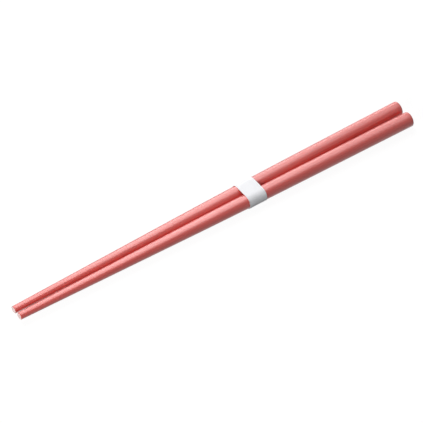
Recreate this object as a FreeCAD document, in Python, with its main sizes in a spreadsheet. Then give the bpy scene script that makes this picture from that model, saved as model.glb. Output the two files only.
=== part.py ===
import FreeCAD, Part
import math
import os
import Sketcher

# A pair of round, tapered bamboo chopsticks held together by a glued paper band.
# Lengths are in millimetres and angles in degrees.
# The frame: X runs along the pair from the tips to the butts, Z is up, and the origin is on the
# surface that the pair lies on, under the middle of its length.
# Left and right are as seen from the butts, looking towards the tips: left is -Y and right is +Y.

# The driving sizes: alias, value and what it measures
SIZES = [
    ("stick_length", 240, "a chopstick from tip to butt"),
    ("tip_diameter", 3.9, "at the very tip"),
    ("grip_diameter", 7.78, "where the front and rear tapers would meet in a corner"),
    ("grip_distance", 137, "from the tip to where the tapers would meet"),
    ("butt_swell", 0.28, "how much wider the butt is than the grip diameter"),
    ("blend_reach", 40, "how far the blend between the tapers reaches each way"),
    ("tip_rounding", 0.2, "radius of the tip's rim"),
    ("butt_rounding", 0.8, "radius of the butt's rim"),
    ("spread_angle", 0.52, "turn of each stick away from the middle plane, towards the butts"),
    ("stick_clearance", 0.02, "between the two sticks where they come closest"),
    ("band_width", 10.5, "the paper strip's width, along the sticks"),
    ("band_distance", 141.5, "from the tips to the middle of the band"),
    ("paper_thickness", 0.15, "one layer of the band"),
    ("paper_clearance", 0.02, "between the band and the sticks at its tight edge"),
    ("lap_length", 7, "the glued lap on the band's underside"),
]

# Sizes worked out from the driving ones: name, formula and what it measures
WORKED_OUT = [
    ("tip_radius", "Sizes.tip_diameter / 2", "at the tip"),
    ("grip_radius", "Sizes.grip_diameter / 2", "where the tapers would meet"),
    ("butt_radius", "grip_radius + Sizes.butt_swell / 2", "at the butt"),
    ("front_angle", "atan((grip_radius - tip_radius) / Sizes.grip_distance) / 1 deg", "slope of the front taper"),
    ("rear_angle", "atan((butt_radius - grip_radius) / (Sizes.stick_length - Sizes.grip_distance)) / 1 deg",
     "slope of the rear taper"),
    ("blend_radius", "Sizes.blend_reach / tan((front_angle - rear_angle) / 2)", "of the arc between the tapers"),
    ("blend_along", "Sizes.grip_distance + Sizes.blend_reach * cos(rear_angle) + blend_radius * sin(rear_angle)",
     "the arc's centre, along the stick from its tip"),
    ("blend_across", "grip_radius + Sizes.blend_reach * sin(rear_angle) - blend_radius * cos(rear_angle)",
     "the arc's centre, across from the stick's axis"),
    ("blend_touch", "blend_radius + blend_across * cos(Sizes.spread_angle) - blend_along * sin(Sizes.spread_angle)",
     "tip axis to the middle plane if the sticks meet on their blends"),
    ("tip_touch", "tip_radius * cos(Sizes.spread_angle)", "the same if they meet at the tips"),
    ("butt_touch", "butt_radius * cos(Sizes.spread_angle) - Sizes.stick_length * sin(Sizes.spread_angle)",
     "the same if they meet at the butts"),
    ("tip_offset", "max(blend_touch; tip_touch; butt_touch) + Sizes.stick_clearance / 2",
     "a tip's axis to the middle plane"),
    ("tip_place", "-Sizes.stick_length * cos(Sizes.spread_angle) / 2", "the tips along X"),
    ("tight_edge", "Sizes.band_distance + Sizes.band_width / 2", "the band's tight edge, on the butts' side"),
    ("tight_offset", "tip_offset + tight_edge * tan(Sizes.spread_angle)", "a stick's axis to the middle plane there"),
    ("tight_radius", "blend_across + sqrt(blend_radius ^ 2 - (tight_edge - blend_along) ^ 2)", "of a stick there"),
    ("loop_radius", "tight_radius + Sizes.paper_clearance", "inside of the band round a stick"),
    ("wrap_radius", "loop_radius + Sizes.paper_thickness", "outside of the band round a stick"),
    ("lap_depth", "wrap_radius + Sizes.paper_thickness", "the lap's underside below the sticks' axes"),
    ("axis_height", "max(lap_depth; butt_radius)", "of the sticks' axes above the surface"),
    ("band_place", "tip_place + Sizes.band_distance", "the middle of the band along X"),
]


def make_sheet(doc):
    """Writes the driving sizes into the spreadsheet, one row each."""
    sheet = doc.addObject("Spreadsheet::Sheet", "Sizes")
    for row, (alias, value, meaning) in enumerate(SIZES, start=1):
        sheet.set(f"A{row}", alias)
        sheet.set(f"B{row}", str(value))
        sheet.set(f"C{row}", meaning)
        sheet.setAlias(f"B{row}", alias)
    doc.recompute()


def make_worked_out(doc):
    """Keeps the sizes that follow from the driving ones, each with its formula."""
    worked = doc.addObject("App::VarSet", "Worked")
    for name, formula, meaning in WORKED_OUT:
        worked.addProperty("App::PropertyFloat", name, "Worked", meaning)
        worked.setExpression(name, formula)
    doc.recompute()
    return worked


def origin_plane(body, role):
    """Finds one of the body's own origin planes by its role."""
    return next(plane for plane in body.Origin.OriginFeatures if plane.Role == role)


def add_sketch(body, name, role):
    """Adds a sketch on one of the body's origin planes."""
    sketch = body.newObject("Sketcher::SketchObject", name)
    sketch.AttachmentSupport = [(origin_plane(body, role), "")]
    sketch.MapMode = "FlatFace"
    return sketch


def constrain(sketch, constraints):
    """Adds constraints that carry no size."""
    for constraint in constraints:
        sketch.addConstraint(Sketcher.Constraint(*constraint))


def size(sketch, name, formula, start, *constraint):
    """Adds a named dimension that follows a formula, from a starting value close to it."""
    index = sketch.addConstraint(Sketcher.Constraint(*constraint, start))
    sketch.renameConstraint(index, name)
    sketch.setExpression(f"Constraints.{name}", formula)


def draw_stick_profile(sketch, sheet, worked):
    """Draws half of a stick's outline: tip face, front taper, blend, rear taper, butt face and axis."""
    point = FreeCAD.Vector
    blend_centre = point(worked.blend_along, worked.blend_across, 0)
    front = math.radians(worked.front_angle)
    rear = math.radians(worked.rear_angle)
    blend_rear = blend_centre + point(-math.sin(rear), math.cos(rear), 0) * worked.blend_radius
    blend_front = blend_centre + point(-math.sin(front), math.cos(front), 0) * worked.blend_radius
    tip = point(0, 0, 0)
    tip_rim = point(0, worked.tip_radius, 0)
    butt = point(sheet.stick_length, 0, 0)
    butt_rim = point(sheet.stick_length, worked.butt_radius, 0)
    blend_circle = Part.Circle(blend_centre, point(0, 0, 1), worked.blend_radius)

    axis = sketch.addGeometry(Part.LineSegment(tip, butt))
    butt_face = sketch.addGeometry(Part.LineSegment(butt, butt_rim))
    rear_taper = sketch.addGeometry(Part.LineSegment(butt_rim, blend_rear))
    blend = sketch.addGeometry(Part.ArcOfCircle(blend_circle, math.pi / 2 + rear, math.pi / 2 + front))
    front_taper = sketch.addGeometry(Part.LineSegment(blend_front, tip_rim))
    tip_face = sketch.addGeometry(Part.LineSegment(tip_rim, tip))
    corner = sketch.addGeometry(Part.Point(point(sheet.grip_distance, worked.grip_radius, 0)), True)

    constrain(sketch, [
        ("Coincident", axis, 1, -1, 1),
        ("Coincident", axis, 2, butt_face, 1),
        ("Coincident", butt_face, 2, rear_taper, 1),
        ("Tangent", rear_taper, 2, blend, 1),
        ("Tangent", blend, 2, front_taper, 1),
        ("Coincident", front_taper, 2, tip_face, 1),
        ("Coincident", tip_face, 2, axis, 1),
        ("Horizontal", axis),
        ("Vertical", butt_face),
        ("Vertical", tip_face),
        ("PointOnObject", corner, 1, front_taper),
        ("PointOnObject", corner, 1, rear_taper),
    ])
    size(sketch, "length", "Sizes.stick_length", sheet.stick_length, "DistanceX", axis, 1, axis, 2)
    size(sketch, "tip", "Worked.tip_radius", worked.tip_radius, "DistanceY", tip_face, 2, tip_face, 1)
    size(sketch, "butt", "Worked.butt_radius", worked.butt_radius, "DistanceY", butt_face, 1, butt_face, 2)
    size(sketch, "grip", "Worked.grip_radius", worked.grip_radius, "DistanceY", -1, 1, corner, 1)
    size(sketch, "grip_at", "Sizes.grip_distance", sheet.grip_distance, "DistanceX", -1, 1, corner, 1)
    size(sketch, "reach", "Sizes.blend_reach", sheet.blend_reach, "Distance", corner, 1, blend, 1)


def rim(shape, along):
    """Names the round edge that lies in the plane at this distance from the tip."""
    for index, edge in enumerate(shape.Edges, start=1):
        box = edge.BoundBox
        if abs(box.XMin - along) < 1e-6 and abs(box.XMax - along) < 1e-6:
            return f"Edge{index}"
    raise ValueError(f"no rim at {along}")


def round_rim(body, base, name, along, radius_size):
    """Rounds the rim of the stick's flat end at this distance from the tip."""
    fillet = body.newObject("PartDesign::Fillet", name)
    fillet.Base = (base, [rim(base.Shape, along)])
    fillet.setExpression("Radius", radius_size)
    body.Document.recompute()
    return fillet


def place(body, along, across, height, turn):
    """Puts a body at a place given by formulas, turned about the vertical."""
    spot = f"vector({along}; {across}; {height})"
    body.setExpression("Placement", f"placement({spot}; rotation(vector(0; 0; 1); {turn}))")


def make_chopstick(doc, label, side, sheet, worked):
    """Turns one chopstick from its profile and lays it on its side of the middle plane."""
    body = doc.addObject("PartDesign::Body", label)
    body.Label = label
    profile = add_sketch(body, f"{label}_profile", "XY_Plane")
    draw_stick_profile(profile, sheet, worked)
    turned = body.newObject("PartDesign::Revolution", f"{label}_turned")
    turned.Profile = profile
    turned.ReferenceAxis = (profile, ["H_Axis"])
    turned.Angle = 360
    doc.recompute()
    tip_rounded = round_rim(body, turned, f"{label}_tip", 0, "Sizes.tip_rounding")
    round_rim(body, tip_rounded, f"{label}_butt", sheet.stick_length, "Sizes.butt_rounding")
    place(body, "Worked.tip_place", f"{side} * Worked.tip_offset", "Worked.axis_height",
          f"{side} * Sizes.spread_angle")
    return body


def draw_band_inside(sketch, worked):
    """Draws the inside of the band: a half circle round each stick and flat spans between them."""
    point = FreeCAD.Vector
    centre = worked.tight_offset
    radius = worked.loop_radius
    left_circle = Part.Circle(point(-centre, 0, 0), point(0, 0, 1), radius)
    right_circle = Part.Circle(point(centre, 0, 0), point(0, 0, 1), radius)
    left = sketch.addGeometry(Part.ArcOfCircle(left_circle, math.pi / 2, 3 * math.pi / 2))
    bottom = sketch.addGeometry(Part.LineSegment(point(-centre, -radius, 0), point(centre, -radius, 0)))
    right = sketch.addGeometry(Part.ArcOfCircle(right_circle, -math.pi / 2, math.pi / 2))
    top = sketch.addGeometry(Part.LineSegment(point(centre, radius, 0), point(-centre, radius, 0)))
    constrain(sketch, [
        ("Tangent", left, 2, bottom, 1),
        ("Tangent", bottom, 2, right, 1),
        ("Tangent", right, 2, top, 1),
        ("Tangent", top, 2, left, 1),
        ("PointOnObject", right, 3, -1),
        ("Symmetric", left, 3, right, 3, -1, 1),
    ])
    size(sketch, "stick_axis", "Worked.tight_offset", centre, "DistanceX", -1, 1, right, 3)
    size(sketch, "inside", "Worked.loop_radius", radius, "Radius", right)
    return left, right


def draw_band_outside(sketch, sheet, worked, inner_left, inner_right):
    """Draws the outside of the band, with the lap's outer layer below the right-hand stick's side.

    The outer layer slopes down over the end of the inner one and stops in a step on the left.
    """
    point = FreeCAD.Vector
    centre = worked.tight_offset
    radius = worked.wrap_radius
    half_lap = sheet.lap_length / 2
    left_circle = Part.Circle(point(-centre, 0, 0), point(0, 0, 1), radius)
    right_circle = Part.Circle(point(centre, 0, 0), point(0, 0, 1), radius)
    corners = [
        point(-centre, -radius, 0),
        point(-half_lap, -radius, 0),
        point(-half_lap, -worked.lap_depth, 0),
        point(half_lap, -worked.lap_depth, 0),
        point(centre, -radius, 0),
    ]
    left = sketch.addGeometry(Part.ArcOfCircle(left_circle, math.pi / 2, 3 * math.pi / 2))
    single, step, lap, ramp = [
        sketch.addGeometry(Part.LineSegment(start, end)) for start, end in zip(corners, corners[1:])
    ]
    right = sketch.addGeometry(Part.ArcOfCircle(right_circle, -math.pi / 2, math.pi / 2))
    top = sketch.addGeometry(Part.LineSegment(point(centre, radius, 0), point(-centre, radius, 0)))
    constrain(sketch, [
        ("Coincident", left, 3, inner_left, 3),
        ("Coincident", right, 3, inner_right, 3),
        ("Tangent", left, 2, single, 1),
        ("Coincident", single, 2, step, 1),
        ("Vertical", step),
        ("Coincident", step, 2, lap, 1),
        ("Coincident", lap, 2, ramp, 1),
        ("Coincident", ramp, 2, right, 1),
        ("Vertical", right, 1, right, 3),
        ("Tangent", right, 2, top, 1),
        ("Tangent", top, 2, left, 1),
        ("Symmetric", lap, 1, lap, 2, -2),
    ])
    size(sketch, "outside", "Worked.wrap_radius", radius, "Radius", right)
    size(sketch, "lap", "Sizes.lap_length", sheet.lap_length, "DistanceX", lap, 1, lap, 2)
    size(sketch, "lap_depth", "Worked.lap_depth", worked.lap_depth, "DistanceY", lap, 2, -1, 1)


def make_paper_band(doc, sheet, worked):
    """Wraps the glued paper strip round both sticks, sized to them at its edge on the butts' side."""
    label = "paper_band"
    body = doc.addObject("PartDesign::Body", label)
    body.Label = label
    section = add_sketch(body, f"{label}_section", "YZ_Plane")
    inner_left, inner_right = draw_band_inside(section, worked)
    draw_band_outside(section, sheet, worked, inner_left, inner_right)
    strip = body.newObject("PartDesign::Pad", f"{label}_strip")
    strip.Profile = section
    strip.Midplane = True
    strip.setExpression("Length", "Sizes.band_width")
    place(body, "Worked.band_place", "0", "Worked.axis_height", "0")
    return body


def check(doc, bodies):
    """Stops if any object failed or any piece is not one valid solid."""
    doc.recompute()
    for item in doc.Objects:
        if "Invalid" in item.State or "Error" in item.State:
            raise RuntimeError(f"{item.Name} failed: {item.State}")
    for body in bodies:
        shape = body.Shape
        if shape.isNull() or not shape.isValid() or len(shape.Solids) != 1:
            raise RuntimeError(f"{body.Label} is not one valid solid")


def export(bodies):
    """Writes each piece to its own file."""
    os.makedirs("parts", exist_ok=True)
    for body in bodies:
        body.Shape.exportStep(f"parts/{body.Label}.step")


def main():
    doc = FreeCAD.newDocument("chopsticks")
    make_sheet(doc)
    sheet = doc.Sizes
    worked = make_worked_out(doc)
    bodies = [
        make_chopstick(doc, "left_chopstick", -1, sheet, worked),
        make_chopstick(doc, "right_chopstick", 1, sheet, worked),
        make_paper_band(doc, sheet, worked),
    ]
    check(doc, bodies)
    export(bodies)


main()
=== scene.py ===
"""Dresses a pair of dyed bamboo chopsticks that a glued band of white paper holds together.

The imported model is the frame: X runs from the tips to the butts, Z is up and the pair lies on the
surface at height 0. Everything here is in metres. Left and right are as seen from the butts, looking
towards the tips, so the left-hand stick is the one on -Y.
"""

import logging
import math
from dataclasses import dataclass
from enum import Enum

import bmesh
import bpy
from mathutils import Matrix, Quaternion, Vector


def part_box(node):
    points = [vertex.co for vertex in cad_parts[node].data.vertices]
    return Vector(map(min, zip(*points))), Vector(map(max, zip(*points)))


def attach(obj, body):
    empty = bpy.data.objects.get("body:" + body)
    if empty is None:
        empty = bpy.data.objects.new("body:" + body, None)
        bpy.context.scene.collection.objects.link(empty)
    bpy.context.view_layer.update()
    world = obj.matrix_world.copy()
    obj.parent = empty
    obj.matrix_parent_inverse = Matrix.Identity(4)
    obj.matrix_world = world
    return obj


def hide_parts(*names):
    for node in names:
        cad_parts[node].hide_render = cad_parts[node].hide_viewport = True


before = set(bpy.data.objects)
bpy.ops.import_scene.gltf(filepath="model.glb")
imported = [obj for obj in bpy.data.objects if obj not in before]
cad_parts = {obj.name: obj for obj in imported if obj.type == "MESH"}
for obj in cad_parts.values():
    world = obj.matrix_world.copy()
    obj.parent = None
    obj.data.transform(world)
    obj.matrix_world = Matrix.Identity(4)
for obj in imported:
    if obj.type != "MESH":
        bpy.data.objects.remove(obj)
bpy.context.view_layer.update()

BODY = "root"
MM = 0.001
IMAGE_PIXELS = 423
MERGE_DISTANCE = 0.0005 * MM
WHITE = (1.0, 1.0, 1.0, 1.0)

log = logging.getLogger("chopsticks")


class Side(Enum):
    """Which of the two sticks, as the way that it lies from the middle plane."""

    LEFT = -1
    RIGHT = 1


def linear(colour: str) -> tuple[float, float, float, float]:
    """Turns an sRGB hex colour into the linear values that shaders take.

    Args:
        colour: The colour as "#RRGGBB".

    Returns:
        Red, green, blue and an alpha of 1.
    """
    parts = (int(colour[i:i + 2], 16) / 255 for i in (1, 3, 5))
    red, green, blue = (p / 12.92 if p <= 0.04045 else ((p + 0.055) / 1.055) ** 2.4 for p in parts)
    return red, green, blue, 1.0


def add_node(
    tree: bpy.types.NodeTree, kind: str, inputs: dict[str | int, object] | None = None, **settings: object
) -> bpy.types.Node:
    """Adds a node with its settings, and fills or links its inputs.

    Args:
        tree: The node tree that gets the node.
        kind: The node's type, such as "ShaderNodeTexNoise".
        inputs: A value or another node's output for each input, by name or number.
        **settings: The node's own properties.

    Returns:
        The new node.
    """
    node = tree.nodes.new(kind)
    for name, value in settings.items():
        setattr(node, name, value)
    for name, value in (inputs or {}).items():
        if isinstance(value, bpy.types.NodeSocket):
            tree.links.new(value, node.inputs[name])
        else:
            node.inputs[name].default_value = value
    return node


def new_material(name: str) -> bpy.types.Material:
    """Makes an empty node material.

    Args:
        name: The material's name.

    Returns:
        The material, with no nodes in it.
    """
    material = bpy.data.materials.new(name)
    material.use_nodes = True
    material.node_tree.nodes.clear()
    return material


def add_object(name: str, mesh: bpy.types.Mesh) -> bpy.types.Object:
    """Puts a mesh into the scene as an object at the origin.

    Args:
        name: The object's name.
        mesh: The mesh, already in its place.

    Returns:
        The new object.
    """
    thing = bpy.data.objects.new(name, mesh)
    bpy.context.scene.collection.objects.link(thing)
    return thing


def settle_order(shape: bmesh.types.BMesh) -> None:
    """Sorts a shape's vertices, edges and faces, because the operators' own order differs between runs.

    Args:
        shape: The shape.
    """
    for parts, key in (
        (shape.verts, lambda vert: tuple(vert.co)),
        (shape.edges, lambda edge: sorted(vert.index for vert in edge.verts)),
        (shape.faces, lambda face: sorted(vert.index for vert in face.verts)),
    ):
        for index, part in enumerate(sorted(parts, key=key)):
            part.index = index
        parts.sort()
        parts.index_update()


def finish_mesh(name: str, shape: bmesh.types.BMesh) -> bpy.types.Mesh:
    """Closes a shape's seams, points its faces outwards and stores it as a mesh.

    Args:
        name: The mesh's name.
        shape: The shape, which is freed.

    Returns:
        The mesh.
    """
    bmesh.ops.remove_doubles(shape, verts=shape.verts, dist=MERGE_DISTANCE)
    bmesh.ops.recalc_face_normals(shape, faces=shape.faces)
    settle_order(shape)
    mesh = bpy.data.meshes.new(name)
    shape.to_mesh(mesh)
    shape.free()
    return mesh


@dataclass(frozen=True)
class DyedBamboo:
    """Bamboo turned round, dyed coral, sanded and waxed to a satin.

    The dye takes darker in the fibre bundles, which run along the stick, so the side shows fine streaks.
    On the sawn ends the same bundles show as dots, on a colour much paler than the side. The wax gives
    the eye one broad, soft highlight along the stick, a little broken up by the fibres.
    """

    # The bundles stand as far apart as in real bamboo. The fibres between them are about 0.02 mm wide,
    # too fine to show, so they are drawn about ten times as coarse. Along the stick every pattern is
    # drawn out by the stretch. The core and the edge of a bundle are shares of the bundle spacing.
    colour: str = "#CF4E46"
    bundle_colour: str = "#B1322C"
    pale_colour: str = "#D5574F"
    end_colour: str = "#F9E2DD"
    end_bundle_colour: str = "#EDADA6"
    bundle_spacing: float = 0.75 * MM
    fibre_width: float = 0.22 * MM
    cloud_size: float = 28 * MM
    along_stretch: float = 0.012
    bundle_core: float = 0.16
    bundle_edge: float = 0.42
    bundle_strength: float = 0.45
    fibre_strength: float = 0.55
    cloud_strength: float = 0.35
    fibre_depth: float = 0.012 * MM
    relief: float = 0.5
    ior: float = 1.5
    roughness: float = 0.37
    roughness_change: float = 0.05
    wax: float = 0.69
    wax_roughness: float = 0.37

    def grain(
        self, tree: bpy.types.NodeTree, turn: float, offset: float
    ) -> tuple[bpy.types.NodeSocket, bpy.types.NodeSocket, bpy.types.NodeSocket]:
        """Adds the bundles, the fine fibres between them and slow clouds in the dye.

        Args:
            tree: The material's tree.
            turn: The stick's turn about the vertical, in radians.
            offset: How far the pattern is moved, so that no two sticks are alike.

        Returns:
            The strength of the bundles, of the fibres and of the clouds, each from 0 to 1.
        """
        place = add_node(tree, "ShaderNodeTexCoord").outputs["Object"]
        straight = add_node(tree, "ShaderNodeMapping", {
            "Vector": place, "Rotation": (0, 0, -turn), "Location": (offset, offset, offset),
        }).outputs["Vector"]
        stretched = add_node(tree, "ShaderNodeMapping", {
            "Vector": straight, "Scale": (self.along_stretch, 1, 1),
        }).outputs["Vector"]
        cells = add_node(tree, "ShaderNodeTexVoronoi", {
            "Vector": stretched, "Scale": 1 / self.bundle_spacing, "Randomness": 1.0,
        }, feature="F1")
        bundles = add_node(tree, "ShaderNodeMapRange", {
            "Value": cells.outputs["Distance"], "From Min": self.bundle_core,
            "From Max": self.bundle_edge, "To Min": 1.0, "To Max": 0.0,
        }, interpolation_type="SMOOTHSTEP")
        noise = add_node(tree, "ShaderNodeTexNoise", {
            "Vector": stretched, "Scale": 1 / self.fibre_width, "Detail": 3.0, "Roughness": 0.6,
        })
        fibres = add_node(tree, "ShaderNodeMapRange", {
            "Value": noise.outputs["Fac"], "From Min": 0.30, "From Max": 0.70,
        })
        clouds = add_node(tree, "ShaderNodeTexNoise", {
            "Vector": straight, "Scale": 1 / self.cloud_size, "Detail": 2.0, "Roughness": 0.5,
        })
        return bundles.outputs["Result"], fibres.outputs["Result"], clouds.outputs["Fac"]

    def side(self, name: str, turn: float, offset: float) -> bpy.types.Material:
        """Makes the finish of a stick's round side.

        Args:
            name: The material's name.
            turn: The stick's turn about the vertical, in radians.
            offset: How far the pattern is moved.

        Returns:
            The material.
        """
        material = new_material(name)
        tree = material.node_tree
        bundles, fibres, clouds = self.grain(tree, turn, offset)
        streaks = add_node(tree, "ShaderNodeMath", {
            0: fibres, 1: self.fibre_strength,
        }, operation="MULTIPLY").outputs[0]
        dark = add_node(tree, "ShaderNodeMath", {
            0: bundles, 1: self.bundle_strength, 2: streaks,
        }, operation="MULTIPLY_ADD")
        dyed = add_node(tree, "ShaderNodeMix", {
            "Factor": dark.outputs[0], "A": linear(self.colour), "B": linear(self.bundle_colour),
        }, data_type="RGBA")
        return self.shade(tree, material, dyed, bundles, fibres, clouds)

    def shade(
        self, tree: bpy.types.NodeTree, material: bpy.types.Material, dyed: bpy.types.Node,
        bundles: bpy.types.NodeSocket, fibres: bpy.types.NodeSocket, clouds: bpy.types.NodeSocket,
    ) -> bpy.types.Material:
        """Adds the shader that both the side and the ends share.

        Args:
            tree: The material's tree.
            material: The material.
            dyed: The mix node that gives the colour before the clouds.
            bundles: The strength of the bundles.
            fibres: The strength of the fine fibres.
            clouds: The strength of the slow clouds.

        Returns:
            The material.
        """
        cloud_share = add_node(tree, "ShaderNodeMapRange", {
            "Value": clouds, "From Min": 0.35, "From Max": 0.75,
            "To Min": 0.0, "To Max": self.cloud_strength,
        }).outputs["Result"]
        clouded = add_node(tree, "ShaderNodeMix", {
            "Factor": cloud_share, "A": dyed.outputs["Result"], "B": linear(self.pale_colour),
        }, data_type="RGBA").outputs["Result"]
        roughness = add_node(tree, "ShaderNodeMapRange", {
            "Value": fibres, "To Min": self.roughness - self.roughness_change,
            "To Max": self.roughness + self.roughness_change,
        }).outputs["Result"]
        height = add_node(tree, "ShaderNodeMath", {
            0: fibres, 1: bundles,
        }, operation="SUBTRACT").outputs[0]
        bump = add_node(tree, "ShaderNodeBump", {
            "Strength": self.relief, "Distance": self.fibre_depth, "Height": height,
        })
        shader = add_node(tree, "ShaderNodeBsdfPrincipled", {
            "Base Color": clouded, "Roughness": roughness, "Normal": bump.outputs["Normal"],
            "IOR": self.ior, "Coat Weight": self.wax, "Coat Roughness": self.wax_roughness,
            "Coat IOR": self.ior,
        })
        add_node(tree, "ShaderNodeOutputMaterial", {"Surface": shader.outputs["BSDF"]})
        return material

    def end(self, name: str, turn: float, offset: float) -> bpy.types.Material:
        """Makes the finish of a stick's cut ends, where the bundles show as dots.

        Args:
            name: The material's name.
            turn: The stick's turn about the vertical, in radians.
            offset: How far the pattern is moved.

        Returns:
            The material.
        """
        material = new_material(name)
        tree = material.node_tree
        bundles, fibres, clouds = self.grain(tree, turn, offset)
        dyed = add_node(tree, "ShaderNodeMix", {
            "Factor": bundles, "A": linear(self.end_colour), "B": linear(self.end_bundle_colour),
        }, data_type="RGBA")
        return self.shade(tree, material, dyed, bundles, fibres, clouds)


@dataclass(frozen=True)
class BandPaper:
    """White uncoated paper, as it comes from the mill: matt, with a faint felt of fibres and no shine.

    It gives the eye a plain white that shades evenly round the sticks.
    """

    # Real paper fibres are about 0.02 mm wide, too fine to show, so they are drawn as coarse as they
    # need to be. The mottle is the size of real clumps of fibres.
    colour: str = "#F2F3F6"
    fibre_colour: str = "#EBECEF"
    fibre_size: float = 0.35 * MM
    mottle_size: float = 2.2 * MM
    fibre_depth: float = 0.02 * MM
    relief: float = 0.6
    roughness: float = 0.6
    ior: float = 1.5

    def make(self, name: str) -> bpy.types.Material:
        """Makes the paper's finish.

        Args:
            name: The material's name.

        Returns:
            The material.
        """
        material = new_material(name)
        tree = material.node_tree
        place = add_node(tree, "ShaderNodeTexCoord").outputs["Object"]
        fibres = add_node(tree, "ShaderNodeTexNoise", {
            "Vector": place, "Scale": 1 / self.fibre_size, "Detail": 4.0, "Roughness": 0.7,
            "Distortion": 1.5,
        }).outputs["Fac"]
        mottle = add_node(tree, "ShaderNodeTexNoise", {
            "Vector": place, "Scale": 1 / self.mottle_size, "Detail": 2.0,
        }).outputs["Fac"]
        felt = add_node(tree, "ShaderNodeMath", {0: fibres, 1: mottle}, operation="MULTIPLY").outputs[0]
        share = add_node(tree, "ShaderNodeMapRange", {
            "Value": felt, "From Min": 0.12, "From Max": 0.42,
        }).outputs["Result"]
        colour = add_node(tree, "ShaderNodeMix", {
            "Factor": share, "A": linear(self.colour), "B": linear(self.fibre_colour),
        }, data_type="RGBA").outputs["Result"]
        bump = add_node(tree, "ShaderNodeBump", {
            "Strength": self.relief, "Distance": self.fibre_depth, "Height": fibres,
        })
        shader = add_node(tree, "ShaderNodeBsdfPrincipled", {
            "Base Color": colour, "Roughness": self.roughness, "Normal": bump.outputs["Normal"],
            "IOR": self.ior,
        })
        add_node(tree, "ShaderNodeOutputMaterial", {"Surface": shader.outputs["BSDF"]})
        return material


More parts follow.
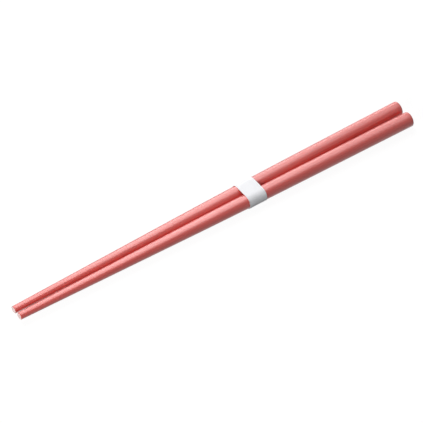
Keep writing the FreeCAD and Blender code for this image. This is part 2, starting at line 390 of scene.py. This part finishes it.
@dataclass(frozen=True)
class Chopstick:
    """One stick, turned round from a strip of bamboo.

    A long front taper blends into a slight rear one. The cut ends are the faces whose normal lies along
    X by more than the named share.
    """

    side: Side
    length: float = 240 * MM
    tip_radius: float = 1.95 * MM
    grip_radius: float = 3.89 * MM
    grip_distance: float = 137 * MM
    butt_radius: float = 4.03 * MM
    blend_reach: float = 40 * MM
    tip_rounding: float = 0.2 * MM
    butt_rounding: float = 0.8 * MM
    spread_angle: float = math.radians(0.52)
    station_spacing: float = 2.5 * MM
    rim_steps: int = 8
    sides_round: int = 96
    pattern_step: float = 31 * MM
    end_normal_x: float = 0.999

    @property
    def node(self) -> str:
        """The CAD node that this stick stands for."""
        return f"{self.side.name.lower()}_chopstick"

    @property
    def turn(self) -> float:
        """The stick's turn about the vertical, in radians."""
        return self.side.value * self.spread_angle

    def radius(self, along: float) -> float:
        """Gives the stick's radius.

        Args:
            along: The distance from the tip.

        Returns:
            The radius there, with no rounding at the ends.
        """
        front_slope = (self.grip_radius - self.tip_radius) / self.grip_distance
        rear_slope = (self.butt_radius - self.grip_radius) / (self.length - self.grip_distance)
        past = along - self.grip_distance
        taper = self.grip_radius + past * (front_slope if past < 0 else rear_slope)
        into_blend = max(0.0, self.blend_reach - abs(past))
        return taper - (front_slope - rear_slope) * into_blend ** 2 / (4 * self.blend_reach)

    def rim(self, along: float, rounding: float, facing: int) -> list[Vector]:
        """Gives the points of a rounded rim, from the end face to the side.

        Args:
            along: Where the end face is.
            rounding: The rim's radius.
            facing: -1 at the tip and 1 at the butt.

        Returns:
            The points, in order outwards.
        """
        centre_along = along - facing * rounding
        centre_radius = self.radius(centre_along) - rounding
        angles = (math.pi / 2 * step / self.rim_steps for step in range(self.rim_steps + 1))
        return [
            Vector((
                centre_along + facing * rounding * math.cos(a), 0, centre_radius + rounding * math.sin(a),
            ))
            for a in angles
        ]

    def outline(self) -> list[Vector]:
        """Gives half of the stick's outline.

        Returns:
            The points, from the middle of the tip's face to the middle of the butt's.
        """
        tip_rim = self.rim(0.0, self.tip_rounding, -1)
        butt_rim = self.rim(self.length, self.butt_rounding, 1)
        start, stop = tip_rim[-1].x, butt_rim[-1].x
        count = round((stop - start) / self.station_spacing)
        stations = (start + (stop - start) * i / count for i in range(1, count))
        side = [Vector((x, 0, self.radius(x))) for x in stations]
        return [Vector((0, 0, 0)), *tip_rim, *side, *reversed(butt_rim), Vector((self.length, 0, 0))]

    def turned(self) -> bmesh.types.BMesh:
        """Spins the outline about the stick's axis, as a lathe does.

        Returns:
            The stick's shape, along X with its tip at the origin.
        """
        shape = bmesh.new()
        points = [shape.verts.new(point) for point in self.outline()]
        edges = [shape.edges.new(pair) for pair in zip(points, points[1:])]
        bmesh.ops.spin(
            shape, geom=points + edges, cent=(0, 0, 0), axis=(1, 0, 0), angle=2 * math.pi,
            steps=self.sides_round, use_merge=True,
        )
        return shape

    def lay_down(self, mesh: bpy.types.Mesh) -> None:
        """Turns the mesh as the stick lies, and moves it to the middle of its CAD node.

        Args:
            mesh: The stick's mesh, along X from the origin.
        """
        mesh.transform(Matrix.Rotation(self.turn, 4, "Z"))
        low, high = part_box(self.node)
        corners = [vertex.co for vertex in mesh.vertices]
        middle = Vector([
            (min(c[i] for c in corners) + max(c[i] for c in corners)) / 2 for i in range(3)
        ])
        mesh.transform(Matrix.Translation((Vector(low) + Vector(high)) / 2 - middle))

    def dress(self, mesh: bpy.types.Mesh, finish: DyedBamboo) -> None:
        """Gives the side and the cut ends their finishes.

        Args:
            mesh: The stick's mesh, in place.
            finish: The bamboo.
        """
        # The pattern moves by one step for the left stick and by three for the right one.
        offset = (self.side.value + 2) * self.pattern_step
        which = self.side.name.lower()
        mesh.materials.append(finish.side(f"waxed_dyed_bamboo_{which}", self.turn, offset))
        mesh.materials.append(finish.end(f"sawn_bamboo_end_{which}", self.turn, offset))
        for face in mesh.polygons:
            is_end = abs(face.normal.x) > self.end_normal_x
            face.use_smooth = not is_end
            face.material_index = int(is_end)

    def build(self, finish: DyedBamboo) -> bpy.types.Object:
        """Makes the stick, in place and dressed.

        Args:
            finish: The bamboo.

        Returns:
            The stick's object.
        """
        name = f"{self.side.name.lower()}_stick"
        mesh = finish_mesh(name, self.turned())
        self.lay_down(mesh)
        self.dress(mesh, finish)
        stick = add_object(name, mesh)
        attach(stick, BODY)
        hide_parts(self.node)
        return stick


@dataclass(frozen=True)
class PaperBand:
    """The strip of paper round both sticks, with its ends glued in a lap on the underside."""

    node: str = "paper_band"
    thickness: float = 0.15 * MM
    lap_length: float = 7 * MM
    glue_gap: float = 0.01 * MM
    layers_high: int = 3
    arc_steps: int = 32
    width_steps: int = 6
    sharp_angle: float = math.radians(40)

    def centre_line(self, half_width: float, radius: float) -> list[Vector]:
        """Gives the strip's inner face in section, from its tucked end to its outer end.

        Args:
            half_width: From the middle plane to the middle of each stick.
            radius: The inside of the band round a stick.

        Returns:
            The points, in the plane across the sticks, about the sticks' axes.
        """
        half_lap = self.lap_length / 2
        outer_layer = -radius - self.thickness - self.glue_gap

        def round_stick(across: float, start: float, stop: float) -> list[Vector]:
            """Gives the half circle round one stick, between two angles from +Y."""
            angles = (start + (stop - start) * i / self.arc_steps for i in range(self.arc_steps + 1))
            return [Vector((0, across + radius * math.cos(a), radius * math.sin(a))) for a in angles]

        return [
            Vector((0, half_lap, -radius)),
            *round_stick(-half_width, -math.pi / 2, -3 * math.pi / 2),
            *round_stick(half_width, math.pi / 2, -math.pi / 2),
            Vector((0, half_lap, outer_layer)),
            Vector((0, -half_lap, outer_layer)),
        ]

    def wrapped(self, low: Vector, high: Vector) -> bmesh.types.BMesh:
        """Wraps the strip: its section is extruded along the sticks and given the paper's thickness.

        Args:
            low: The CAD node's lowest corner.
            high: Its highest corner.

        Returns:
            The strip's shape, in place.
        """
        # One layer lies on top, and two lie in the lap with the glue between them.
        radius = (high.z - low.z - self.layers_high * self.thickness - self.glue_gap) / 2
        half_width = (high.y - low.y) / 2 - radius - self.thickness
        axis_height = high.z - radius - self.thickness
        shape = bmesh.new()
        edge = Vector((low.x, 0, axis_height))
        points = [shape.verts.new(point + edge) for point in self.centre_line(half_width, radius)]
        edges = [shape.edges.new(pair) for pair in zip(points, points[1:])]
        step = Vector(((high.x - low.x) / self.width_steps, 0, 0))
        for _ in range(self.width_steps):
            grown = bmesh.ops.extrude_edge_only(shape, edges=edges)["geom"]
            edges = [item for item in grown if isinstance(item, bmesh.types.BMEdge)]
            points = [item for item in grown if isinstance(item, bmesh.types.BMVert)]
            bmesh.ops.translate(shape, verts=points, vec=step)
        top = max(shape.faces, key=lambda face: face.calc_center_median().z)
        if top.normal.z < 0:
            bmesh.ops.reverse_faces(shape, faces=shape.faces)
        settle_order(shape)
        bmesh.ops.solidify(shape, geom=shape.faces[:], thickness=-self.thickness)
        return shape

    def build(self, finish: BandPaper) -> bpy.types.Object:
        """Makes the band, in place and dressed.

        Args:
            finish: The paper.

        Returns:
            The band's object.
        """
        low, high = (Vector(corner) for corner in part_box(self.node))
        mesh = finish_mesh("wrapped_band", self.wrapped(low, high))
        mesh.materials.append(finish.make("uncoated_white_paper"))
        mesh.polygons.foreach_set("use_smooth", [True] * len(mesh.polygons))
        mesh.set_sharp_from_angle(angle=self.sharp_angle)
        band = add_object("wrapped_band", mesh)
        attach(band, BODY)
        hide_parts(self.node)
        return band


@dataclass(frozen=True)
class PhotoCamera:
    """The camera at the photograph's viewing angle, as fitted to the outlines of both sticks."""

    azimuth: float = math.radians(-35.28)
    elevation: float = math.radians(46.70)
    distance: float = 1.8705
    focal_pixels: float = 3701.3
    sensor_width: float = 36.0
    aim: Vector = Vector((0, 0, 4.12 * MM))
    aim_right: float = -1.87 * MM
    aim_up: float = -0.35 * MM

    def build(self) -> bpy.types.Object:
        """Makes the camera, and makes it the scene's own.

        Returns:
            The camera's object.
        """
        data = bpy.data.cameras.new("photo_camera")
        data.sensor_width = self.sensor_width
        data.lens = self.focal_pixels * self.sensor_width / IMAGE_PIXELS
        camera = add_object("photo_camera", data)
        level = math.cos(self.elevation)
        back = Vector((
            math.sin(self.azimuth) * level, -math.cos(self.azimuth) * level, math.sin(self.elevation),
        ))
        facing = back.to_track_quat("Z", "Y")
        shift = facing @ Vector((self.aim_right, self.aim_up, 0))
        camera.rotation_euler = facing.to_euler()
        camera.location = self.aim + shift + back * self.distance
        bpy.context.scene.camera = camera
        return camera


class Light(Enum):
    """Which part of its light a lamp gives: all of it, only the plain light, or only the highlights."""

    ALL = "all"
    PLAIN = "plain"
    HIGHLIGHT = "highlight"


@dataclass(frozen=True)
class SoftLamp:
    """A rectangular soft lamp that faces the object, in metres, radians and watts.

    The azimuth is turned from +X towards +Y, and the width is the lamp's level side before the roll.
    """

    name: str
    azimuth: float
    elevation: float
    distance: float
    width: float
    height: float
    power: float
    roll: float = 0.0
    only: Light = Light.ALL

    def build(self) -> bpy.types.Object:
        """Makes the lamp, at its distance from the origin.

        Returns:
            The lamp's object.
        """
        data = bpy.data.lights.new(self.name, "AREA")
        data.shape = "RECTANGLE"
        data.energy = self.power
        data.size = self.width
        data.size_y = self.height
        level = math.cos(self.elevation)
        away = Vector((
            math.cos(self.azimuth) * level, math.sin(self.azimuth) * level, math.sin(self.elevation),
        ))
        lamp = add_object(self.name, data)
        lamp.visible_diffuse = self.only is not Light.HIGHLIGHT
        lamp.visible_glossy = self.only is not Light.PLAIN
        lamp.location = away * self.distance
        facing = away.to_track_quat("Z", "Y")
        lamp.rotation_euler = (facing @ Quaternion((0, 0, 1), self.roll)).to_euler()
        return lamp


# The lamps' places and powers are fitted to how the photograph shades the sticks and the band. The
# strip draws the bright line along each stick, and the last lamp only lights the butt ends.
LAMPS = (
    SoftLamp(
        name="strip_softbox", azimuth=math.radians(45.7), elevation=math.radians(63.8), distance=1.0,
        width=0.39, height=1.71, power=13.3, roll=math.radians(40.0), only=Light.HIGHLIGHT,
    ),
    SoftLamp(
        name="top_softbox", azimuth=math.radians(96.0), elevation=math.radians(57.0), distance=1.0,
        width=0.60, height=0.60, power=6.9, only=Light.PLAIN,
    ),
    SoftLamp(
        name="tip_softbox", azimuth=math.radians(201.5), elevation=math.radians(27.6), distance=1.0,
        width=0.35, height=0.35, power=7.6,
    ),
    SoftLamp(
        name="low_softbox", azimuth=math.radians(63.6), elevation=math.radians(18.6), distance=0.95,
        width=0.35, height=0.25, power=1.5,
    ),
    SoftLamp(
        name="butt_softbox", azimuth=math.radians(32.0), elevation=math.radians(5.0), distance=1.0,
        width=0.3, height=0.2, power=4.5, only=Light.PLAIN,
    ),
)


@dataclass(frozen=True)
class Studio:
    """A plain floor under soft lamps, in a surround that is white wherever it is seen."""

    floor_size: float = 8.0
    floor_drop: float = 0.01 * MM
    floor_colour: str = "#5D5D5D"
    floor_glow: float = 0.925
    lamps: tuple[SoftLamp, ...] = LAMPS

    def seen(self, tree: bpy.types.NodeTree) -> bpy.types.NodeSocket:
        """Adds a value that is 1 where something is seen directly, mirrored or through something clear.

        Args:
            tree: The material's or the world's tree.

        Returns:
            The value, 0 for the rays that only carry light.
        """
        path = add_node(tree, "ShaderNodeLightPath")
        mirrored = add_node(tree, "ShaderNodeMath", {
            0: path.outputs["Is Camera Ray"], 1: path.outputs["Is Glossy Ray"],
        }, operation="MAXIMUM").outputs[0]
        return add_node(tree, "ShaderNodeMath", {
            0: mirrored, 1: path.outputs["Is Transmission Ray"],
        }, operation="MAXIMUM").outputs[0]

    def floor(self) -> bpy.types.Object:
        """Makes the floor, which glows to the camera so that it reads as white but keeps the shadow.

        It lies a hair under the pair, so that it and the underside of the band's lap don't coincide.

        Returns:
            The floor's object.
        """
        shape = bmesh.new()
        bmesh.ops.create_grid(shape, x_segments=1, y_segments=1, size=self.floor_size / 2)
        bmesh.ops.translate(shape, verts=shape.verts, vec=(0, 0, -self.floor_drop))
        floor = add_object("floor", finish_mesh("floor", shape))
        material = new_material("pale_floor")
        tree = material.node_tree
        glow_strength = add_node(tree, "ShaderNodeMath", {
            0: self.seen(tree), 1: self.floor_glow,
        }, operation="MULTIPLY").outputs[0]
        plain = add_node(tree, "ShaderNodeBsdfDiffuse", {"Color": linear(self.floor_colour)})
        glow = add_node(tree, "ShaderNodeEmission", {"Color": WHITE, "Strength": glow_strength})
        both = add_node(tree, "ShaderNodeAddShader", {
            0: plain.outputs["BSDF"], 1: glow.outputs["Emission"],
        })
        add_node(tree, "ShaderNodeOutputMaterial", {"Surface": both.outputs["Shader"]})
        floor.data.materials.append(material)
        return floor

    def surround(self) -> bpy.types.World:
        """Makes the surround, which is white where it is seen or mirrored and gives no plain light.

        Returns:
            The world.
        """
        world = bpy.data.worlds.new("surround")
        world.use_nodes = True
        tree = world.node_tree
        tree.nodes.clear()
        sky = add_node(tree, "ShaderNodeBackground", {"Color": WHITE, "Strength": self.seen(tree)})
        add_node(tree, "ShaderNodeOutputWorld", {"Surface": sky.outputs["Background"]})
        bpy.context.scene.world = world
        return world

    def build(self) -> None:
        """Makes the floor, the surround and the lamps."""
        self.floor()
        self.surround()
        for lamp in self.lamps:
            lamp.build()


def main() -> None:
    """Builds the camera, the studio, the sticks and the band, in that order."""
    logging.basicConfig(level=logging.INFO, format="%(name)s: %(message)s")
    bpy.context.scene.view_settings.view_transform = "Standard"
    PhotoCamera().build()
    Studio().build()
    bamboo = DyedBamboo()
    pieces = [Chopstick(side).build(bamboo) for side in Side]
    pieces.append(PaperBand().build(BandPaper()))
    for piece in pieces:
        log.info("%s: %d faces", piece.name, len(piece.data.polygons))


if __name__ == "__main__":
    main()
